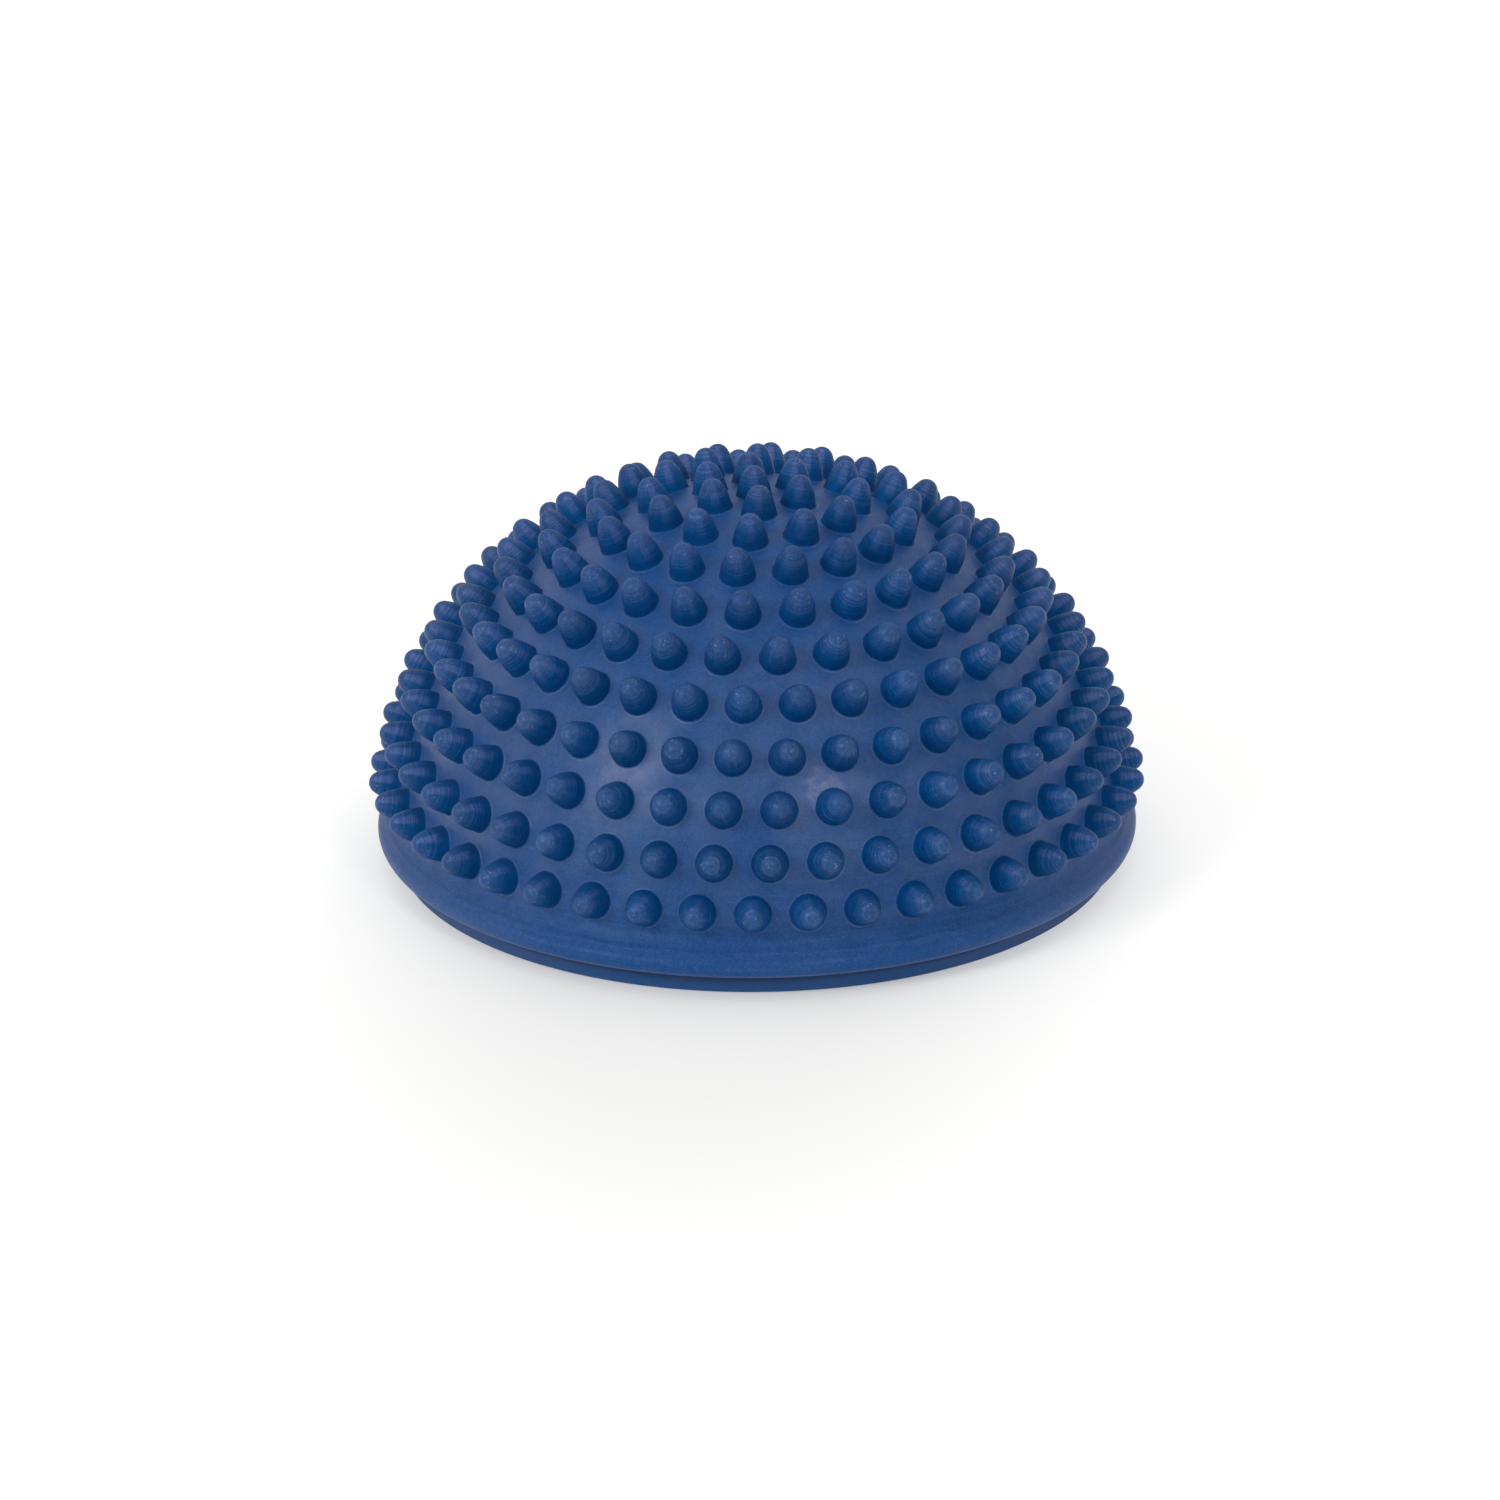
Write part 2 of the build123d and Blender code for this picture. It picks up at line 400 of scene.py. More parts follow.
    ob = new_object("dome_skin", np.array([np.array(v, float) for v in verts]), faces,
                    attributes={"stud_h": at_h, "stud_t": at_t, "stud_rnd": at_rnd, "stud_low": at_low, "stud_turn": at_turn})
    outward(ob)
    return ob


dome = build_dome()


# ----------------------------------------------------------------------------
# Base disc, valve and plug
# ----------------------------------------------------------------------------
def build_base():
    z_foot = base_lo.z / MM
    rec = z_foot + 1.0
    pts = [(72.05, WELD_Z, 0), (75.95, WELD_Z, 0.25), (75.75, z_foot, 0.35), (62.0, z_foot, 0.35), (61.2, rec, 0.35)]
    for r in (52.0, 42.0, 32.0, 22.0):
        pts += [(r + 1.6, rec, 0.3), (r + 1.15, z_foot, 0.4), (r - 1.15, z_foot, 0.4), (r - 1.6, rec, 0.3)]
    pts += [
        (16.1, rec, 0.3), (15.3, z_foot, 0.5), (12.5, z_foot, 0.5), (12.4, 3.4, 0.3), (4.6, 3.4, 0), (4.6, 13.0, 0),
        (11.5, 13.0, 0.8), (11.5, 6.4, 1.2), (15.5, WELD_Z, 1.0), (69.6, WELD_Z, 0.8), (69.6, 8.6, 0.6),
        (72.05, 8.6, 0.8), (72.05, WELD_Z + 0.2, 0),
    ]
    prof = rounded([p[:2] for p in pts], [p[2] for p in pts], 5)
    ob = lathe("base_floor", prof, 240, closed=True)
    outward(ob)
    return ob


def build_valve():
    pts = [
        (2.6, 2.2, 0.0), (9.6, 2.2, 0.45), (9.6, 3.4, 0.1), (4.6, 3.4, 0), (4.6, 13.0, 0), (5.7, 13.0, 0.2),
        (5.7, 13.8, 0.3), (3.7, 15.2, 0.4), (0.8, 15.2, 0.15), (0.8, 12.3, 0), (2.1, 11.4, 0), (2.1, 2.7, 0.2),
    ]
    prof = rounded([p[:2] for p in pts], [p[2] for p in pts], 5)
    ob = lathe("valve_seat", prof, 96, closed=True)
    outward(ob)
    return ob


def build_plug():
    z0 = plug_lo.z / MM
    pts = [
        (0.0, z0 + 0.35, 0), (2.2, z0 + 0.35, 0.2), (2.6, z0, 0.2), (4.8, z0, 0.42), (4.8, 2.15, 0.2), (2.05, 2.15, 0.12),
        (2.05, 9.2, 0.4), (1.2, 10.6, 0.3), (0.0, 10.6, 0),
    ]
    prof = rounded([p[:2] for p in pts], [p[2] for p in pts], 6)
    ob = lathe("plug_stopper", prof, 96)
    outward(ob)
    return ob


def build_tab():
    """The plug's pull tab: a flat tongue with rounded edges."""
    x0, x1, w = 2.6, plug_hi.x / MM, 4.4
    z0, z1 = plug_lo.z / MM, 1.75
    n = 28
    cx = x1 - w / 2
    outline = [(x0, -w / 2)]
    for k in range(n + 1):
        a = -math.pi / 2 + math.pi * k / n
        outline.append((cx + w / 2 * math.cos(a), w / 2 * math.sin(a)))
    outline.append((x0, w / 2))
    pts = np.array(outline)
    mid = np.array([(x0 + cx) / 2, 0.0])
    rings = []
    e = 0.22
    for inset, z in ((e, z0), (e * 0.3, z0 + e * 0.3), (0, z0 + e), (0, z1 - e), (e * 0.3, z1 - e * 0.3), (e, z1)):
        d = pts - np.array([cx, 0.0])
        q = pts.copy()
        q[:, 1] *= (w / 2 - inset) / (w / 2)
        q[:, 0] = np.where(pts[:, 0] > cx, cx + (pts[:, 0] - cx) * (w / 2 - inset) / (w / 2), pts[:, 0])
        rings.append(np.column_stack([q, np.full(len(q), z)]))
    verts = np.concatenate(rings)
    m = len(pts)
    faces = []
    for i in range(len(rings) - 1):
        for k in range(m):
            k2 = (k + 1) % m
            faces.append((i * m + k, i * m + k2, (i + 1) * m + k2, (i + 1) * m + k))
    faces.append(tuple(range(m))[::-1])
    faces.append(tuple((len(rings) - 1) * m + k for k in range(m)))
    ob = new_object("plug_tab", verts, faces)
    outward(ob)
    return ob


base = build_base()
valve = build_valve()
plug = build_plug()
tab = build_tab()

for ob, body, cad, slot in (
    (dome, "dome", "dome_shell", "dome_pvc"),
    (base, "dome", "base_disc", "base_pvc"),
    (valve, "dome", "valve_body", "valve_rubber"),
    (plug, "plug", "valve_plug", "plug_rubber"),
    (tab, "plug", "valve_plug", "plug_rubber"),
):
    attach(ob, body)
    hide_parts(cad)


# ----------------------------------------------------------------------------
# Materials
# ----------------------------------------------------------------------------
class Nodes:
    def __init__(self, name):
        self.mat = bpy.data.materials.new(name)
        self.mat.use_nodes = True
        self.nt = self.mat.node_tree
        self.nt.nodes.clear()
        self.out = self.nt.nodes.new("ShaderNodeOutputMaterial")
        self.bsdf = self.nt.nodes.new("ShaderNodeBsdfPrincipled")
        self.nt.links.new(self.bsdf.outputs[0], self.out.inputs["Surface"])
        co = self.nt.nodes.new("ShaderNodeTexCoord")
        self.obj = co.outputs["Object"]

    def put(self, node, name, value):
        s = node.inputs[name]
        if isinstance(value, bpy.types.NodeSocket):
            self.nt.links.new(value, s)
        else:
            s.default_value = value

    def math(self, op, a, b=0.0, c=None, clamp=False):
        n = self.nt.nodes.new("ShaderNodeMath")
        n.operation = op
        n.use_clamp = clamp
        self.put(n, 0, a)
        self.put(n, 1, b)
        if c is not None:
            self.put(n, 2, c)
        return n.outputs[0]

    def attr(self, name):
        n = self.nt.nodes.new("ShaderNodeAttribute")
        n.attribute_name = name
        return n.outputs["Fac"]

    def step(self, v, a, b, lo=0.0, hi=1.0, kind="SMOOTHSTEP"):
        n = self.nt.nodes.new("ShaderNodeMapRange")
        n.interpolation_type = kind
        self.put(n, 0, v)
        for i, x in ((1, a), (2, b), (3, lo), (4, hi)):
            n.inputs[i].default_value = x
        return n.outputs[0]

    def noise(self, scale, detail=2.0, rough=0.5, vec=None, distortion=0.0):
        n = self.nt.nodes.new("ShaderNodeTexNoise")
        self.put(n, "Vector", vec if vec is not None else self.obj)
        n.inputs["Scale"].default_value = scale
        n.inputs["Detail"].default_value = detail
        n.inputs["Roughness"].default_value = rough
        n.inputs["Distortion"].default_value = distortion
        return n.outputs["Fac"]

    def mix(self, fac, a, b, blend="MIX"):
        n = self.nt.nodes.new("ShaderNodeMix")
        n.data_type = "RGBA"
        n.blend_type = blend
        self.put(n, 0, fac)
        ins = [i for i in n.inputs if i.type == "RGBA"]
        for s, v in zip(ins, (a, b)):
            if isinstance(v, bpy.types.NodeSocket):
                self.nt.links.new(v, s)
            else:
                s.default_value = (*v, 1.0)
        return [o for o in n.outputs if o.type == "RGBA"][0]

    def xyz(self):
        n = self.nt.nodes.new("ShaderNodeSeparateXYZ")
        self.nt.links.new(self.obj, n.inputs[0])
        return n.outputs

    def scaled(self, x, y, z, vec=None):
        n = self.nt.nodes.new("ShaderNodeMapping")
        self.put(n, "Vector", vec if vec is not None else self.obj)
        n.inputs["Scale"].default_value = (x, y, z)
        return n.outputs[0]

    def vec(self, op, a, b=None, out=0):
        n = self.nt.nodes.new("ShaderNodeVectorMath")
        n.operation = op
        self.put(n, 0, a)
        if b is not None:
            self.put(n, 3 if op == "SCALE" else 1, b)
        return n.outputs[out]

    def bump(self, height, normal=None):
        n = self.nt.nodes.new("ShaderNodeBump")
        if normal is not None:
            self.nt.links.new(normal, n.inputs["Normal"])
        n.inputs["Strength"].default_value = 1.0
        n.inputs["Distance"].default_value = 1.0
        self.put(n, "Height", height)
        self.nt.links.new(n.outputs[0], self.bsdf.inputs["Normal"])


def skin_material():
    k = Nodes("soft_pvc_dome")
    h, t, rnd, low = k.attr("stud_h"), k.attr("stud_t"), k.attr("stud_rnd"), k.attr("stud_low")
    x, y, z = k.xyz()
    on = k.step(h, 0.03, 0.20)
    tipf = k.step(h, TIP_FROM, 7.0)
    # skin: blue, greyer and more violet in the bloom patches; the greyer, more violet tone towards the top and at the
    # left and upper right sides is painted sheen
    big = k.noise(24, 3, 0.55)
    patch = k.step(big, 0.50, 0.68)
    top_sheen = k.step(z, 0.045, 0.082)
    fine = k.noise(130, 4, 0.62)
    # side marks where the painted sheen lies: the left side, and the upper right
    side = k.math("MAXIMUM", k.step(x, -0.022, -0.068, 0.0, 0.85), k.math("MULTIPLY", k.step(x, 0.022, 0.060), k.step(z, 0.050, 0.072)))
    bloom_and_sheen = k.math("ADD", k.math("MULTIPLY", patch, 0.30), k.math("MULTIPLY", side, 0.45))
    bloom_and_sheen = k.math("MULTIPLY", k.math("ADD", bloom_and_sheen, k.math("MULTIPLY", top_sheen, 0.05)), k.step(fine, 0.25, 0.75, 0.55, 1.0), clamp=True)
    skin = k.mix(bloom_and_sheen, SKIN_BLUE, SKIN_BLOOM_AND_SHEEN)
    # the rim's band is a cleaner blue, less so where the painted side sheen lies; the pale lines where it starts and
    # along the lip's edge are painted highlights
    band = k.step(z, (STEP_Z - 1.0) * MM, (STEP_Z + 2.6) * MM, 1.0, 0.0)
    skin = k.mix(k.math("MULTIPLY", band, k.math("SUBTRACT", 0.7, k.math("MULTIPLY", side, 0.45))), skin, RIM_BLUE)
    edge = k.step(k.math("ABSOLUTE", k.math("SUBTRACT", z, 0.0050)), 0.0001, 0.0005, 1.0, 0.0)
    line = k.step(k.math("ABSOLUTE", k.math("SUBTRACT", z, (STEP_Z - 0.1) * MM)), 0.0, 0.0003, 1.0, 0.0)
    skin = k.mix(k.math("MULTIPLY", edge, k.step(fine, 0.3, 0.7, 0.35, 0.75)), skin, EDGE_HIGHLIGHT)
    skin = k.mix(k.math("MULTIPLY", line, k.step(fine, 0.35, 0.7, 0.0, 0.4)), skin, EDGE_HIGHLIGHT)
    # faint streaks that run round the dome, clearest low down
    streak = k.step(k.noise(1.0, 3, 0.55, vec=k.scaled(42, 42, 1250)), 0.50, 0.72)
    streak = k.math("MULTIPLY", streak, k.step(z, 0.022, 0.045, 0.22, 0.06))
    skin = k.mix(streak, skin, STREAK)
    # greyer out at the two sides of the rim: painted sheen
    out = k.math("MULTIPLY", k.step(k.math("ABSOLUTE", x), 0.034, 0.076), k.step(z, 0.0105, 0.0165, 0.55, 0.0))
    skin = k.mix(out, skin, RIM_SIDE_SHEEN)
    # two pale patches on the front, painted highlights where the lamps' reflections fall
    for highlight_spot, reach, weight in (((0.0138, -0.0649, 0.0399), 0.0052, 0.55), ((-0.0268, -0.0602, 0.0398), 0.0085, 0.30)):
        away = k.vec("LENGTH", k.vec("SUBTRACT", k.obj, highlight_spot), out=1)
        away = k.math("ADD", away, k.math("MULTIPLY", k.math("SUBTRACT", k.noise(230, 4, 0.65), 0.5), 0.016))
        mark = k.step(away, reach * 0.25, reach, weight, 0.0)
        skin = k.mix(k.math("MULTIPLY", mark, k.step(k.noise(1100, 2, 0.6), 0.35, 0.65, 0.45, 1.0)), skin, SPOT_HIGHLIGHT)
    # the studs' upper part is paler, with an uneven lower border
    tipf = k.step(k.math("ADD", h, k.math("MULTIPLY", k.math("SUBTRACT", k.noise(420, 2, 0.5), 0.5), 2.4)), TIP_FROM, 6.4)
    stud = k.mix(tipf, STUD_DEEP, STUD_TIP)
    # towards the top of the dome the studs take a painted sheen
    stud = k.mix(k.math("MULTIPLY", top_sheen, k.math("ADD", k.math("MULTIPLY", tipf, 0.45), 0.05)), stud, STUD_TOP_SHEEN)
    # where the painted side sheen lies, the studs' noses and upper flanks are lighter: painted light from above
    upper_flank_light = k.math("MULTIPLY", k.step(low, 0.2, -0.8), 0.35)
    stud = k.mix(k.math("MULTIPLY", side, k.math("MAXIMUM", k.math("MULTIPLY", tipf, 0.6), upper_flank_light)), stud, STUD_SIDE_SHEEN)
    # fine turned rings round the studs, each stud's its own: they lie across its axis and are uneven in depth and spacing
    rel = k.vec("SUBTRACT", k.obj, (0.0, 0.0, Z0 * MM))
    rho = k.vec("LENGTH", rel, out=1)
    axis = k.vec("NORMALIZE", rel)
    wob = k.math("MULTIPLY", k.noise(90, 2, 0.5), 5.0)
    along = k.math("MULTIPLY", rho, 1 / (RING_STEP * MM))
    along = k.math("ADD", along, k.math("MULTIPLY", k.noise(300, 1, 0.5), 0.8))
    turned = []
    for shift in (0.0, 0.25):
        cv = k.nt.nodes.new("ShaderNodeCombineXYZ")
        k.put(cv, 0, k.math("ADD", along, shift))
        k.put(cv, 1, k.math("MULTIPLY", rnd, 61.0))
        turned.append(k.noise(1.0, 1.5, 0.6, vec=cv.outputs[0]))
    zone = k.math("MULTIPLY", on, k.step(h, 0.9, 3.8, 0.14, 1.0))
    zone = k.math("MULTIPLY", zone, k.step(h, 6.0, 6.9, 1.0, 0.15))
    zone = k.math("MULTIPLY", zone, k.step(k.noise(240, 2, 0.5), 0.32, 0.66, 0.25, 1.0))
    pale = k.math("MULTIPLY", k.step(turned[0], 0.47, 0.64), zone)
    # the dark rings are painted shade in the turned grooves
    dark = k.math("MULTIPLY", k.step(turned[0], 0.30, 0.45, 1.0, 0.0), zone)
    stud = k.mix(k.math("MULTIPLY", pale, RING_TONE), stud, RING_PALE)
    stud = k.mix(k.math("MULTIPLY", dark, RING_TONE), stud, STUD_DEEP)
    # a painted sheen: a pale line along each stud, on the side that faces up and forward, standing in for the highlight
    # the turned rings spread along it
    geo = k.nt.nodes.new("ShaderNodeNewGeometry")
    own = k.nt.nodes.new("ShaderNodeVectorTransform")
    own.vector_type = "NORMAL"
    own.convert_from, own.convert_to = "WORLD", "OBJECT"
    k.nt.links.new(geo.outputs["Normal"], own.inputs[0])
    faces = k.vec("SUBTRACT", own.outputs[0], k.vec("SCALE", axis, k.vec("DOT_PRODUCT", axis, own.outputs[0], out=1)))
    toward = k.nt.nodes.new("ShaderNodeCombineXYZ")
    for i, v in enumerate(SHEEN_FROM):
        k.put(toward, i, v)
    toward = k.vec("SUBTRACT", toward.outputs[0], k.vec("SCALE", axis, k.vec("DOT_PRODUCT", axis, toward.outputs[0], out=1)))
    reach = k.vec("LENGTH", toward, out=1)
    sheen = k.vec("DOT_PRODUCT", k.vec("NORMALIZE", faces), k.vec("NORMALIZE", toward), out=1)
    sheen = k.math("MULTIPLY", k.step(sheen, 0.92, 1.0), k.math("MULTIPLY", reach, reach))
    sheen = k.math("MULTIPLY", sheen, k.math("MULTIPLY", k.step(h, 1.2, 3.4), k.step(h, 5.6, 6.8, 1.0, 0.0)))
    sheen = k.math("MULTIPLY", sheen, k.step(turned[0], 0.38, 0.60, 0.45, 1.0))
    stud = k.mix(k.math("MULTIPLY", sheen, SHEEN), stud, SHEEN_PALE)
    # rub marks that run from the nose down, partly a painted sheen standing in for highlight streaks, and a few bright
    # specks on it
    rv = k.nt.nodes.new("ShaderNodeCombineXYZ")
    k.put(rv, 0, k.math("MULTIPLY", low, 2.2))
    k.put(rv, 1, k.math("MULTIPLY", k.attr("stud_turn"), 2.2))
    k.put(rv, 2, k.math("MULTIPLY", rnd, 83.0))
    rub_and_sheen = k.math("MULTIPLY", k.step(k.noise(1.0, 2, 0.6, vec=rv.outputs[0]), 0.50, 0.68), k.step(h, 1.6, 4.6))
    stud = k.mix(k.math("MULTIPLY", rub_and_sheen, 0.26), stud, RUB_AND_SHEEN)
    speck = k.math("MULTIPLY", k.step(k.noise(1250, 1, 0.5), 0.67, 0.76), tipf)
    stud = k.mix(k.math("MULTIPLY", speck, 0.45), stud, SPECK)
    col = k.mix(on, skin, stud)
    # pale line just outside each stud's foot, clearest on the side towards the rim
    d = k.math("ABSOLUTE", k.math("SUBTRACT", t, 4.10))
    halo = k.math("MULTIPLY", k.step(d, 0.0, 0.24, 1.0, 0.0), k.step(fine, 0.3, 0.7, 0.35, 1.0))
    halo = k.math("MULTIPLY", halo, k.step(low, -0.4, 0.9, 0.12, 0.75))
    halo = k.math("MULTIPLY", halo, k.step(k.noise(75, 2, 0.5), 0.40, 0.62, 0.15, 1.0))
    col = k.mix(halo, col, HALO)
    # pale flecks, mottling, and a shade of its own for every stud
    fleck = k.math("ADD", k.math("MULTIPLY", tipf, 0.07), k.math("MULTIPLY", k.math("SUBTRACT", 1.0, k.math("MULTIPLY", on, 0.80)), 0.085))
    fleck = k.math("MULTIPLY", k.step(k.noise(2400, 2, 0.6), 0.44, 0.70), fleck)
    col = k.mix(fleck, col, FLECK)
    mot = k.math("ADD", k.math("MULTIPLY", k.noise(800, 2, 0.55), 0.35), k.math("MULTIPLY", k.noise(2600, 2, 0.6), 0.65))
    mot = k.step(mot, 0.36, 0.64, 1.0 - MOTTLE, 1.0 + MOTTLE, "LINEAR")
    shade = k.step(rnd, 0.0, 1.0, 0.90, 1.10, "LINEAR")
    shade = k.math("ADD", k.math("MULTIPLY", k.math("SUBTRACT", shade, 1.0), on), 1.0)
    shade = k.math("MULTIPLY", shade, mot)
    hsv = k.nt.nodes.new("ShaderNodeHueSaturation")
    k.nt.links.new(shade, hsv.inputs["Value"])
    k.nt.links.new(col, hsv.inputs["Color"])
    k.nt.links.new(hsv.outputs[0], k.bsdf.inputs["Base Color"])
    rough = k.math("ADD", k.math("MULTIPLY", k.noise(90, 3, 0.6), 0.20), 0.40)
    k.nt.links.new(rough, k.bsdf.inputs["Roughness"])
    # the turned flanks have a dull blue sheen
    flank = k.math("MULTIPLY", on, k.math("SUBTRACT", 1.0, tipf))
    k.nt.links.new(k.math("ADD", k.math("MULTIPLY", flank, SPEC_FLANK - SPEC), SPEC), k.bsdf.inputs["Specular IOR Level"])
    k.nt.links.new(k.mix(flank, SPEC_TINT[:3], TINT_FLANK), k.bsdf.inputs["Specular Tint"])
    # a thin hazy gloss on the skin and on the studs' noses, none down their sides
    gloss = k.math("ADD", k.math("MULTIPLY", k.math("SUBTRACT", 1.0, on), COAT_SKIN), k.math("MULTIPLY", k.math("MULTIPLY", tipf, k.step(k.math("SUBTRACT", k.math("ABSOLUTE", x), z), 0.005, 0.050, 1.0, 0.50)), COAT_TIP))
    gloss = k.math("MULTIPLY", gloss, k.step(k.noise(95, 3, 0.6), 0.34, 0.66, 0.62, 1.15))
    gloss = k.math("MULTIPLY", gloss, k.step(z, 0.0100, 0.0180, 0.25, 1.0))
    gloss = k.math("MULTIPLY", gloss, k.step(z, 0.050, 0.078, 1.0, 0.50))
    k.nt.links.new(gloss, k.bsdf.inputs["Coat Weight"])
    k.bsdf.inputs["Coat Roughness"].default_value = COAT_ROUGH
    turn = k.nt.nodes.new("ShaderNodeVectorTransform")
    turn.vector_type = "NORMAL"
    turn.convert_from, turn.convert_to = "OBJECT", "WORLD"
    k.nt.links.new(axis, turn.inputs[0])
    tilt = k.math("MULTIPLY", k.math("MULTIPLY", k.math("SUBTRACT", turned[1], turned[0]), zone), RING_TILT)
    normal = k.vec("NORMALIZE", k.vec("ADD", geo.outputs["Normal"], k.vec("SCALE", turn.outputs[0], tilt)))
    # turning marks on the plain band under the studs, grain and slight dents all over
    under = k.step(z, 0.0105, 0.0135, 1.0, 0.0)
    zz = k.math("MULTIPLY", z, 2 * math.pi / 0.00062)
    mark = k.math("MULTIPLY", k.math("SINE", k.math("ADD", zz, wob)), k.math("MULTIPLY", under, 0.000004))
    grain = k.math("MULTIPLY", k.noise(1700, 3, 0.6), 0.000016)
    dent = k.math("MULTIPLY", k.noise(85, 2, 0.5), 0.00016)
    k.bump(k.math("ADD", mark, k.math("ADD", grain, dent)), normal)
    return k.mat


def base_material():
    k = Nodes("soft_pvc_base")
    x, y, z = k.xyz()
    big = k.noise(30, 3, 0.55)
    col = k.mix(k.step(big, 0.4, 0.7), BASE_BLUE, BASE_BLUE2)
    mot = k.noise(600, 3, 0.6)
    col = k.mix(0.5, col, k.mix(mot, (0.36, 0.36, 0.36), (0.64, 0.64, 0.64)), "OVERLAY")
    # greyer towards the two sides: painted sheen
    col = k.mix(k.step(k.math("ABSOLUTE", x), 0.026, 0.070, 0.0, 0.8), col, BASE_SIDE_SHEEN)
    # above 2.9 mm, under the lip, the base is darkened: painted shadow of the lip
    under_lip_shadow = k.step(z, 0.0022, 0.0029)
    col = k.mix(k.math("MULTIPLY", under_lip_shadow, 0.85), col, UNDER_LIP_SHADOW)
    # the resting faces are scuffed paler
    worn = k.math("MULTIPLY", k.step(z, 0.0002, 0.0005, 1.0, 0.0), k.step(k.noise(260, 4, 0.7), 0.44, 0.68))
    col = k.mix(k.math("MULTIPLY", worn, 0.32), col, (0.12, 0.16, 0.25))
    k.nt.links.new(col, k.bsdf.inputs["Base Color"])
    k.nt.links.new(k.math("ADD", k.math("MULTIPLY", k.noise(90, 3, 0.6), 0.2), 0.5), k.bsdf.inputs["Roughness"])
    k.bsdf.inputs["Specular IOR Level"].default_value = SPEC
    k.bsdf.inputs["Specular Tint"].default_value = SPEC_TINT
    vor = k.nt.nodes.new("ShaderNodeTexVoronoi")
    vor.inputs["Scale"].default_value = 900
    k.nt.links.new(k.obj, vor.inputs["Vector"])
    peb = k.math("MULTIPLY", k.math("MULTIPLY", vor.outputs["Distance"], k.step(z, 0.0, 0.0025, 1.0, 0.25)), 0.00006)
    k.bump(k.math("ADD", peb, k.math("MULTIPLY", k.noise(1700, 3, 0.6), 0.00001)))
    return k.mat


def rubber_material(name, dark, light, rough, spec, grain):
    k = Nodes(name)
    x, y, z = k.xyz()
    col = k.mix(k.noise(180, 4, 0.6), dark, light)
    k.nt.links.new(col, k.bsdf.inputs["Base Color"])
    k.nt.links.new(k.math("ADD", k.math("MULTIPLY", k.noise(260, 3, 0.6), 0.2), rough), k.bsdf.inputs["Roughness"])
    k.bsdf.inputs["Specular IOR Level"].default_value = spec
    k.bump(k.math("MULTIPLY", k.noise(3000, 3, 0.6), grain))
    return k.mat


SKIN_BLUE = (0.005, 0.055, 0.202)
SKIN_BLOOM_AND_SHEEN = (0.045, 0.084, 0.215)
RIM_BLUE = (0.012, 0.058, 0.192)
EDGE_HIGHLIGHT = (0.040, 0.090, 0.240)
STUD_DEEP = (0.000, 0.049, 0.178)
STUD_TIP = (0.005, 0.047, 0.167)
STUD_SIDE_SHEEN = (0.018, 0.055, 0.168)
STUD_TOP_SHEEN = (0.024, 0.052, 0.168)
RING_PALE = (0.030, 0.095, 0.250)
HALO = (0.075, 0.130, 0.290)
BASE_BLUE = (0.025, 0.073, 0.202)
BASE_BLUE2 = (0.032, 0.079, 0.206)
UNDER_LIP_SHADOW = (0.034, 0.054, 0.120)
STREAK = (0.045, 0.100, 0.260)
SHEEN_PALE = (0.100, 0.135, 0.330)
SHEEN = 0.70
SHEEN_FROM = (0.0, -0.743, 0.669)
RUB_AND_SHEEN = (0.045, 0.090, 0.255)
SPECK = (0.170, 0.240, 0.430)
FLECK = (0.130, 0.190, 0.400)
RIM_SIDE_SHEEN = (0.043, 0.084, 0.217)
BASE_SIDE_SHEEN = (0.053, 0.085, 0.192)
SPOT_HIGHLIGHT = (0.150, 0.180, 0.330)
MOTTLE = 0.18
TIP_FROM = 2.8
RING_STEP = 0.37
RING_TONE = 0.76
RING_TILT = 2.5
SPEC = 0.15
SPEC_FLANK = 0.25
TINT_FLANK = (0.03, 0.45, 1.0)
SPEC_TINT = (0.20, 0.50, 1.0, 1.0)
COAT_SKIN = 0.75
COAT_TIP = 0.55
COAT_ROUGH = 0.42

dome.data.materials.append(skin_material())
base.data.materials.append(base_material())
valve.data.materials.append(rubber_material("valve_rubber", (0.012, 0.012, 0.013), (0.030, 0.030, 0.033), 0.52, 0.3, 0.00001))
plug_mat = rubber_material("plug_soft_plastic", (0.012, 0.022, 0.060), (0.022, 0.036, 0.085), 0.36, 0.4, 0.000006)
plug.data.materials.append(plug_mat)
tab.data.materials.append(plug_mat)
for n in nodes.values():
    n.data.materials.clear()
    n.data.materials.append(plug_mat)


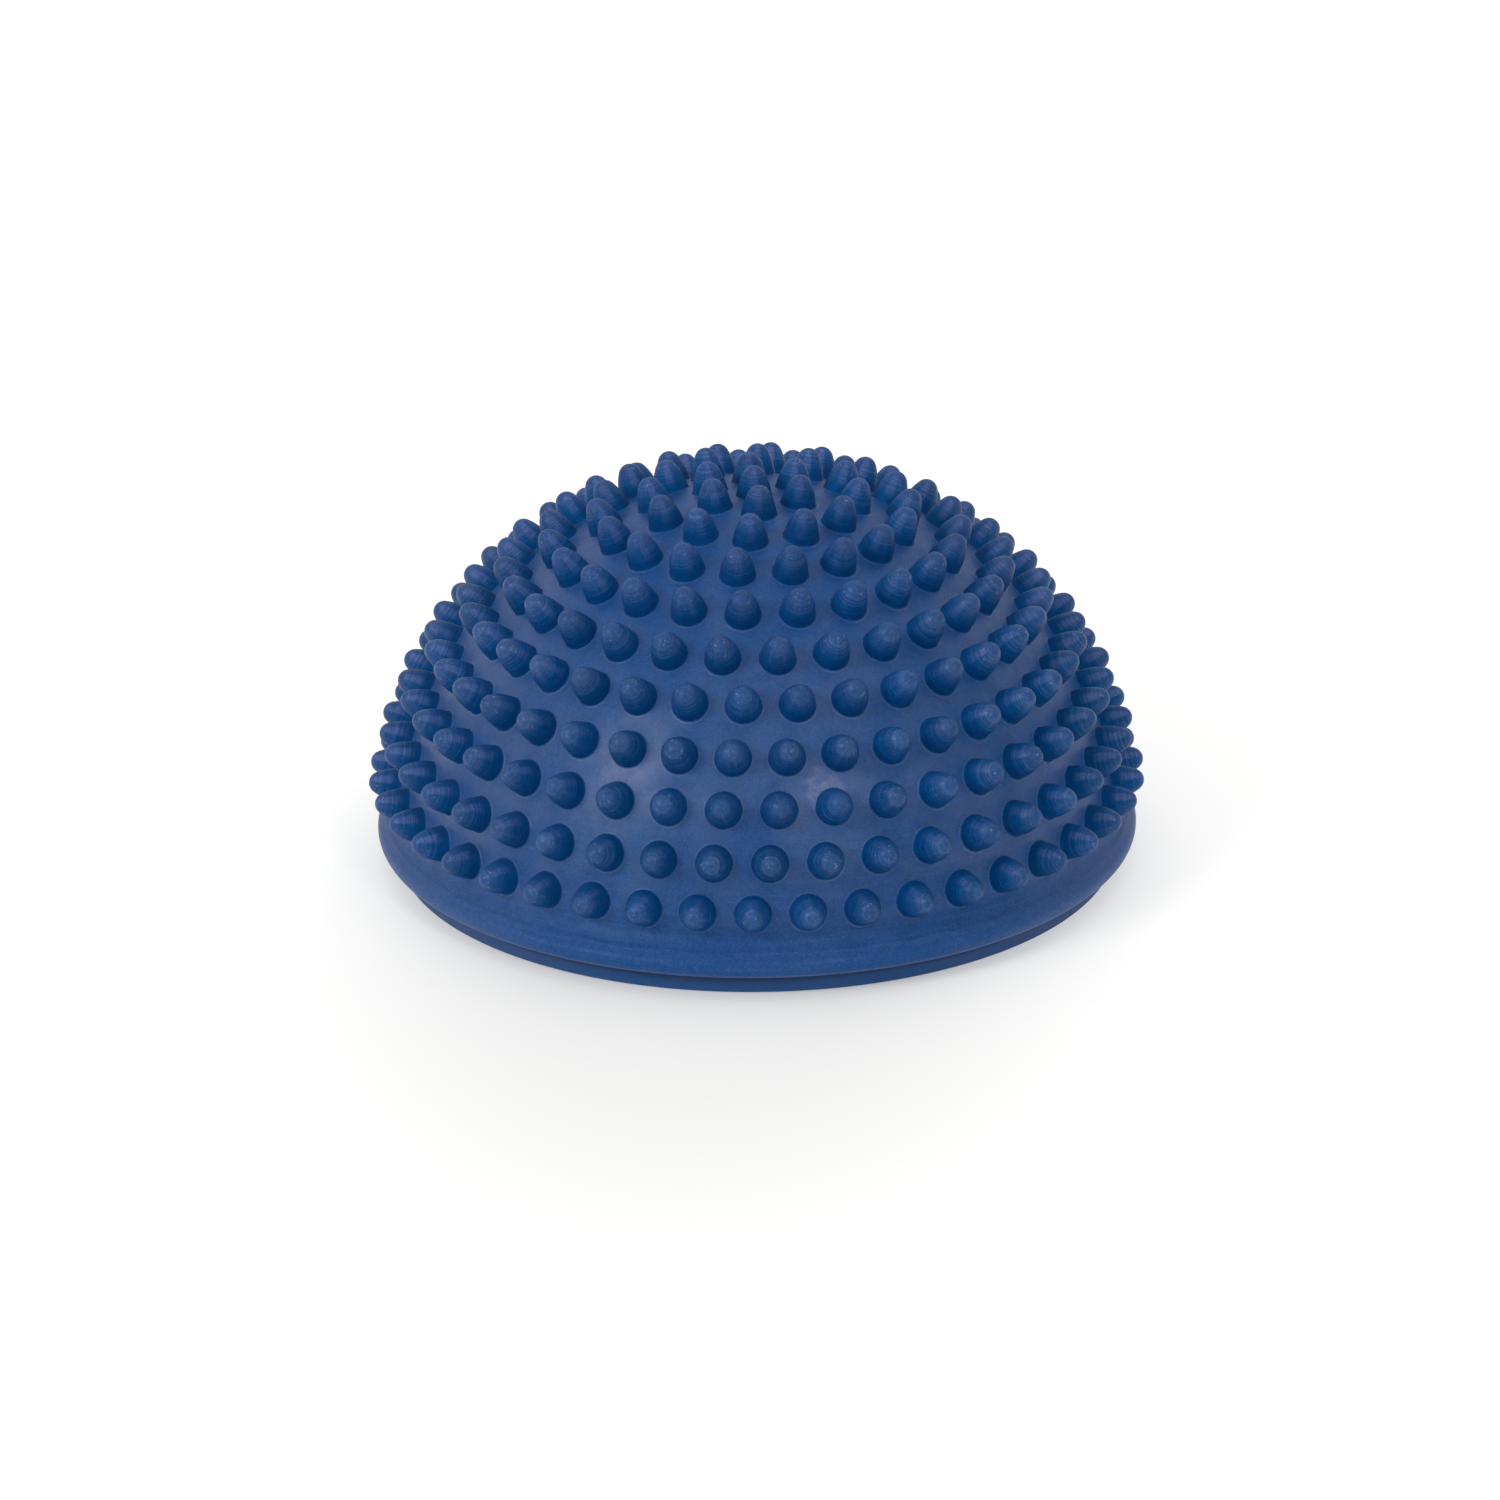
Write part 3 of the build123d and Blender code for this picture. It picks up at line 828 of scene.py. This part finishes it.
# ----------------------------------------------------------------------------
# Floor, light
# ----------------------------------------------------------------------------
def floor_material():
    """White studio floor. Part of its brightness is its own, as if lit from below, so shadows on it stay pale; that
    glow is dimmer just in front of the dome, a painted shadow.
    """
    k = Nodes("pale_floor")
    col = k.mix(k.noise(3, 2, 0.5), (0.600, 0.598, 0.584), (0.610, 0.608, 0.594))
    k.nt.links.new(col, k.bsdf.inputs["Base Color"])
    k.bsdf.inputs["Roughness"].default_value = 0.6
    k.bsdf.inputs["Specular IOR Level"].default_value = 0.05
    k.bsdf.inputs["Emission Color"].default_value = (1.0, 1.0, 1.0, 1.0)
    # the glow fades towards a spot just in front of the dome: a painted shadow
    painted_shadow_dist = k.vec("MULTIPLY", k.vec("SUBTRACT", k.obj, (-0.014, -0.085, 0.0)), (0.9, 0.6, 1.0))
    painted_shadow_dist = k.vec("LENGTH", painted_shadow_dist, out=1)
    k.nt.links.new(k.step(painted_shadow_dist, 0.018, 0.115, FLOOR_GLOW - 0.105, FLOOR_GLOW + 0.11), k.bsdf.inputs["Emission Strength"])
    # seen from below, the floor is clear, so that the underside shows
    side = k.nt.nodes.new("ShaderNodeNewGeometry")
    clear = k.nt.nodes.new("ShaderNodeBsdfTransparent")
    both = k.nt.nodes.new("ShaderNodeMixShader")
    k.nt.links.new(side.outputs["Backfacing"], both.inputs[0])
    k.nt.links.new(k.bsdf.outputs[0], both.inputs[1])
    k.nt.links.new(clear.outputs[0], both.inputs[2])
    k.nt.links.new(both.outputs[0], k.out.inputs["Surface"])
    return k.mat


FLOOR_GLOW = 0.385
floor = new_object("floor", [(-6000, -6000, 0), (6000, -6000, 0), (6000, 6000, 0), (-6000, 6000, 0)], [(0, 1, 2, 3)], smooth=False)
floor.location.z = -0.0002
floor.data.materials.append(floor_material())

world = bpy.data.worlds.new("studio")
scene.world = world
world.use_nodes = True
wn = world.node_tree
bg = wn.nodes["Background"] if "Background" in wn.nodes else wn.nodes.new("ShaderNodeBackground")
bg.inputs["Color"].default_value = (1.0, 1.0, 1.0, 1.0)
# white all round and brighter overhead
wc = wn.nodes.new("ShaderNodeTexCoord")
wz = wn.nodes.new("ShaderNodeSeparateXYZ")
wr = wn.nodes.new("ShaderNodeMapRange")
wr.interpolation_type = "SMOOTHSTEP"
for i, v in ((1, 0.0), (2, 1.0), (3, 0.54), (4, 0.92)):
    wr.inputs[i].default_value = v
# and a little dimmer on the right
wx = wn.nodes.new("ShaderNodeMapRange")
for i, v in ((1, -1.0), (2, 1.0), (3, 1.02), (4, 0.98)):
    wx.inputs[i].default_value = v
# and a little brighter behind the dome
wy = wn.nodes.new("ShaderNodeMapRange")
for i, v in ((1, -1.0), (2, 1.0), (3, 0.94), (4, 1.10)):
    wy.inputs[i].default_value = v
wm, wm2 = (wn.nodes.new("ShaderNodeMath") for _ in range(2))
wm.operation = wm2.operation = "MULTIPLY"
wn.links.new(wc.outputs["Generated"], wz.inputs[0])
wn.links.new(wz.outputs[2], wr.inputs[0])
wn.links.new(wz.outputs[0], wx.inputs[0])
wn.links.new(wr.outputs[0], wm.inputs[0])
wn.links.new(wx.outputs[0], wm.inputs[1])
wn.links.new(wz.outputs[1], wy.inputs[0])
wn.links.new(wm.outputs[0], wm2.inputs[0])
wn.links.new(wy.outputs[0], wm2.inputs[1])
wn.links.new(wm2.outputs[0], bg.inputs["Strength"])


def area(name, loc, target, size, power, colour=(1, 1, 1)):
    L = bpy.data.lights.new(name, "AREA")
    L.shape = "RECTANGLE"
    L.size, L.size_y = size
    L.energy = power
    L.color = colour
    ob = bpy.data.objects.new(name, L)
    scene.collection.objects.link(ob)
    ob.location = loc
    ob.rotation_mode = "QUATERNION"
    ob.rotation_quaternion = (Vector(target) - Vector(loc)).to_track_quat("-Z", "Y")
    return ob




def aim(azimuth, elevation, dist):
    """A place seen from the dome at this azimuth from the front, to the right, and elevation."""
    a, e = math.radians(azimuth), math.radians(elevation)
    return (dist * math.cos(e) * math.sin(a), -dist * math.cos(e) * math.cos(a), dist * math.sin(e))


area("key_softbox", aim(-50, 33, 2.8), (0, 0, 0.03), (1.0, 0.8), 26.0)
area("small_softbox", aim(26, 36, 2.8), (0, 0, 0.03), (0.42, 0.42), 9.5)

scene.view_settings.view_transform = "Standard"
scene.view_settings.look = "None"
